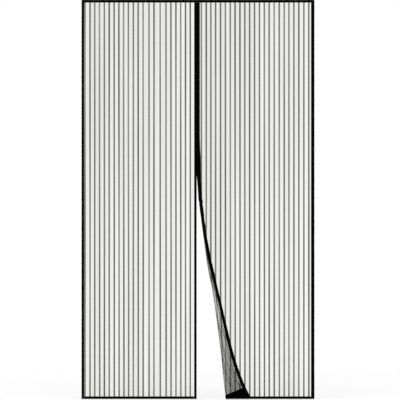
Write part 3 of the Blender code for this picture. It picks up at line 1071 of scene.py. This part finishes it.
# %% [markdown]
# ## Magnets and weights
# Flexible magnets are strips of rubber filled with magnetic powder, cut from a roll. They lie in the
# pockets of the inner tapes, end to end with a space between them. On the left they hang straight,
# and the solids are kept. On the right each strip has to bend with its tape. One strip is modelled
# flat, cut into short lengths so that it can bend, copied and passed through the roll.

# %% Magnet strips of the right panel
MAGNET_PAIRS = 16
MAGNET_WIDTH = 8 * MM
MAGNET_THICKNESS = 1.2 * MM
MAGNET_SPACE = 28 * MM
MAGNET_CORNER = 1.5 * MM
BEND_STEP = 8 * MM
magnet_spacing = side_top / MAGNET_PAIRS
magnet_length = magnet_spacing - MAGNET_SPACE

bpy.ops.object.select_all(action="DESELECT")
bpy.ops.mesh.primitive_cube_add(size=1, scale=(MAGNET_WIDTH, MAGNET_THICKNESS, magnet_length))
strip = bpy.context.object
bpy.ops.object.transform_apply(location=False, rotation=False, scale=True)
for edge in strip.data.edges:
    one, other = (strip.data.vertices[n].co for n in edge.vertices)
    edge.select = abs(one.y - other.y) > 0.5 * MAGNET_THICKNESS
for face in strip.data.polygons:
    face.select = False
bpy.ops.object.mode_set(mode="EDIT")
bpy.ops.mesh.select_mode(type="EDGE")
bpy.ops.mesh.bevel(offset=MAGNET_CORNER, segments=3)
for height in spaced(-magnet_length / 2, magnet_length / 2, BEND_STEP)[1:-1]:
    bpy.ops.mesh.select_all(action="SELECT")
    bpy.ops.mesh.bisect(plane_co=(0, 0, height), plane_no=(0, 0, 1))
for x in (-0.25 * MAGNET_WIDTH, 0, 0.25 * MAGNET_WIDTH):
    bpy.ops.mesh.select_all(action="SELECT")
    bpy.ops.mesh.bisect(plane_co=(x, 0, 0), plane_no=(1, 0, 0))
bpy.ops.object.mode_set(mode="OBJECT")
print(f"One magnet strip is {1000 * magnet_length:.0f} mm long, {len(strip.data.polygons)} faces")

# %% [markdown]
# The strips are matt charcoal rubber, calendered between rollers, so they have a faint grain and a
# soft shine. The weights in the hems are plain drawn steel bars with fine lines along them. Hook tape
# is woven nylon with hundreds of stiff little hooks, too small to model: a fine dotted bump. These
# parts are solids without a UV map, so their patterns lie on Object coordinates.

# %% Finishes of the hidden parts
def grained(name, dark, pale, roughness, specular, metallic, grains, depth):
    """A finish with two close tones and a matching bump, from one noise of so many grains a metre."""
    material, tree, shader = new_finish(name, dark, roughness, specular, metallic)
    place = add_node(tree, "ShaderNodeTexCoord")
    stretch = add_node(tree, "ShaderNodeMapping", {"Scale": grains}, {0: place.outputs["Object"]})
    grain = add_node(tree, "ShaderNodeTexNoise", {"Scale": 1.0, "Detail": 3.0}, {0: stretch.outputs[0]})
    tint(tree, shader, grain.outputs[0], dark, pale)
    emboss(tree, shader, grain.outputs[0], 0.5, depth)
    return material, tree, shader


magnet_material, *_ = grained(
    "calendered_magnet_rubber", "#1c1c1d", "#2a2a2a", 0.6, 0.35, 0.0, (900, 900, 300), 0.05 * MM
)
steel_material, *_ = grained(
    "drawn_steel_bar", "#a8a9ab", "#c4c5c6", 0.35, 0.5, 1.0, (80, 2500, 2500), 0.02 * MM
)
hook_material, hook_tree, hook_shader = grained(
    "nylon_hook_tape", "#0a0a0b", "#161617", 0.8, 0.2, 0.0, (500, 500, 500), 0.1 * MM
)
HOOK_SPACING = 2.4 * MM  # drawn coarse: real hooks stand about 1.2 mm apart
HOOK_HEIGHT = 0.6 * MM
hooks = add_node(
    hook_tree,
    "ShaderNodeTexVoronoi",
    {"Scale": 1 / HOOK_SPACING, "Randomness": 0.25},
    {0: add_node(hook_tree, "ShaderNodeTexCoord").outputs["Object"]},
)
# The bumps of the hooks take the place of the grain's
emboss(hook_tree, hook_shader, hooks.outputs["Distance"], 1.0, HOOK_HEIGHT, invert=True)
kept = {"magnet_left": magnet_material, "hem_weight": steel_material, "hook_tape": hook_material}
for name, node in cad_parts.items():
    for start, material in kept.items():
        if name.startswith(start):
            node.data.materials.clear()
            node.data.materials.append(material)
print("Finished the solids that stay")

# %% Hang the right magnets
MAGNET_SMOOTH_ANGLE = math.radians(35)
pocket_middle = SEAM_X + POCKET_HALF + LEAF / 2 + MAGNET_WIDTH / 2
strip.data.materials.append(magnet_material)
for number in range(1, MAGNET_PAIRS + 1):
    magnet = strip.copy()
    magnet.data = strip.data.copy()
    magnet.name = f"magnet_strip_right_{number:02d}"
    bpy.context.scene.collection.objects.link(magnet)
    middle_height = (number - 0.5) * magnet_spacing
    for vert in magnet.data.vertices:
        vert.co = turned(pocket_middle + vert.co.x, middle_height + vert.co.z, vert.co.y)
    select_only(magnet)
    bpy.ops.object.shade_smooth_by_angle(angle=MAGNET_SMOOTH_ANGLE)
    finish_piece(magnet, "magnet_rubber", f"magnet_right_{number:02d}")
bpy.data.objects.remove(strip)
print(f"{MAGNET_PAIRS} strips hang in the right tape")

# %% [markdown]
# ## Stitches
# The tapes are sewn through with a lockstitch in black thread. A stitch is a short taper-ended thread
# that lies on the tape, 3.4 mm long and one every 5 mm, a little longer than real ones so that they
# can be few. One stitch is modelled from a six-sided cylinder, an Array modifier repeats it along a
# seam, and the seam is then laid on the tape and takes the roll with it.

# %% One stitch
STITCH_LENGTH = 3.4 * MM
STITCH_PITCH = 5 * MM
THREAD_RADIUS = 0.22 * MM
STITCH_TIP = 0.45  # width of a tip beside the middle
thread_material, *_ = grained(
    "black_sewing_thread", "#090909", "#111111", 0.7, 0.03, 0.0, (2500, 2500, 2500), 0.05 * MM
)
bpy.ops.object.select_all(action="DESELECT")
bpy.ops.mesh.primitive_cylinder_add(vertices=6, radius=THREAD_RADIUS, depth=0.5 * STITCH_LENGTH)
stitch = bpy.context.object
for end in (-1, 1):
    for part in (stitch.data.edges, stitch.data.vertices):
        part.foreach_set("select", [False] * len(part))
    for face in stitch.data.polygons:
        face.select = face.normal.z * end > 0.9
    bpy.ops.object.mode_set(mode="EDIT")
    bpy.ops.mesh.select_mode(type="FACE")
    tip = (0, 0, end * 0.25 * STITCH_LENGTH)
    bpy.ops.mesh.extrude_region_move(TRANSFORM_OT_translate={"value": tip})
    bpy.ops.transform.resize(value=(STITCH_TIP, STITCH_TIP, 1))
    bpy.ops.object.mode_set(mode="OBJECT")
stitch.data.materials.append(thread_material)
print(f"A stitch has {len(stitch.data.polygons)} faces")

# %% [markdown]
# Each row of stitches is given by where it starts, whether it runs upright and how long it is on the
# flat panel. Tapes show their stitches on both faces, and the patch only on its own.

# %% How a seam is sewn
THREAD_RISE = 0.3 * THREAD_RADIUS  # most of a thread sinks into the cloth


def sew_seam(name, lines, place, surface, slot, sides=(-1, 1)):
    """Lays rows of stitches on the faces of a cloth and joins them into one piece."""
    rows = []
    for (x, height), upright, length in lines:
        for side in sides:
            row = stitch.copy()
            row.data = stitch.data.copy()
            bpy.context.scene.collection.objects.link(row)
            select_only(row)
            bpy.ops.object.modifier_add(type="ARRAY")
            array = row.modifiers[-1]
            array.use_relative_offset = False
            array.use_constant_offset = True
            array.constant_offset_displace = (0, 0, STITCH_PITCH)
            array.count = int(length / STITCH_PITCH)
            bpy.ops.object.modifier_apply(modifier=array.name)
            for vert in row.data.vertices:
                across, out, along = vert.co
                depth = side * (surface + THREAD_RISE) + out
                along += 0.5 * STITCH_PITCH
                if upright:
                    vert.co = place(x + across, height + along, depth)
                else:
                    vert.co = place(x + along, height + across, depth)
            rows.append(row)
    bpy.ops.object.select_all(action="DESELECT")
    for row in rows:
        row.select_set(True)
    bpy.context.view_layer.objects.active = rows[0]
    bpy.ops.object.join()
    seam = bpy.context.object
    seam.name = name
    bpy.ops.object.shade_smooth()
    finish_piece(seam, slot)
    return seam


print(f"A row of 1 m takes {int(1 / STITCH_PITCH)} stitches")

# %% Sew the tapes
SEAM_INSET = 2.5 * MM
NARROW_INSET = 1.5 * MM  # on the narrower inner tape
POCKET_SEAM = SLOT_IN_POCKET + 0.4 * MM  # just past the pocket
tape_surface = PLAIN_HALF + LEAF / 2
header_start = (LEFT_EDGE + SEAM_INSET, TOP - TOP_TAPE_WIDTH + SEAM_INSET)
hem_seam_height = HEM_WIDTH - SEAM_INSET
left_rows = (POCKET_SEAM, LEFT_TAPE_WIDTH - NARROW_INSET)
right_rows = (POCKET_SEAM, RIGHT_TAPE_WIDTH - SEAM_INSET)
header_lines = [(header_start, False, RIGHT_EDGE - LEFT_EDGE - 2 * SEAM_INSET)]
outer_left_lines = [((LEFT_EDGE + OUTER_LEFT_WIDTH - SEAM_INSET, 0), True, side_top)]
outer_right_lines = [((RIGHT_EDGE - OUTER_RIGHT_WIDTH + SEAM_INSET, 0), True, side_top)]
inner_left_lines = [((SEAM_X - x, 0), True, side_top) for x in left_rows]
inner_right_lines = [((SEAM_X + x, 0), True, side_top) for x in right_rows]
hem_left_length = SEAM_X - LEFT_TAPE_WIDTH - hem_left_start
hem_right_length = RIGHT_EDGE - OUTER_RIGHT_WIDTH - hem_right_start
hem_left_lines = [((hem_left_start, hem_seam_height), False, hem_left_length)]
hem_right_lines = [((hem_right_start, hem_seam_height), False, hem_right_length)]
for name, lines, place, slot in (
    ("header", header_lines, hung, "woven_tape"),
    ("outer_left", outer_left_lines, hung, "woven_tape"),
    ("outer_right", outer_right_lines, hung, "woven_tape"),
    ("inner_left", inner_left_lines, hung, "woven_tape"),
    ("inner_right", inner_right_lines, dragged, "woven_tape"),
    ("hem_left", hem_left_lines, hung, "hem_tape"),
    ("hem_right", hem_right_lines, turned, "hem_tape"),
):
    sew_seam(f"stitches_{name}", lines, place, tape_surface, slot)

# %% Sew the patch
PATCH_SEAM_INSET = 3 * MM
patch_surface = PATCH_DEPTH + PATCH_THICKNESS / 2
patch_left = patch_low_x + PATCH_SEAM_INSET
patch_corner = (patch_left, PATCH_MARGIN + PATCH_SEAM_INSET)
patch_seam_length = PATCH_LENGTH - 2 * PATCH_SEAM_INSET


def patch_place(x, height, depth):
    """A point at a height from the patch's slanting upper edge."""
    return turned(x, patch_top(x - patch_low_x) + height, depth)


patch_top_seam = sew_seam(
    "stitches_patch_top",
    [((patch_left, -PATCH_SEAM_INSET), False, patch_seam_length)],
    patch_place,
    patch_surface,
    "patch_cloth",
    sides=(1,),
)
patch_low_seam = sew_seam(
    "stitches_patch_low",
    [
        (patch_corner, False, patch_seam_length),
        (patch_corner, True, PATCH_HEIGHT - 3 * PATCH_SEAM_INSET),
    ],
    turned,
    patch_surface,
    "patch_cloth",
    sides=(1,),
)
bpy.data.objects.remove(stitch)
print(f"The patch has {patch_seam_length / MM:.0f} mm long seams")

# %% [markdown]
# ## The finished screen
# The nets hang from the header, the tapes are folded over the nets, and the header is held by its hook
# tape.

print("Ten sheets are sewn")
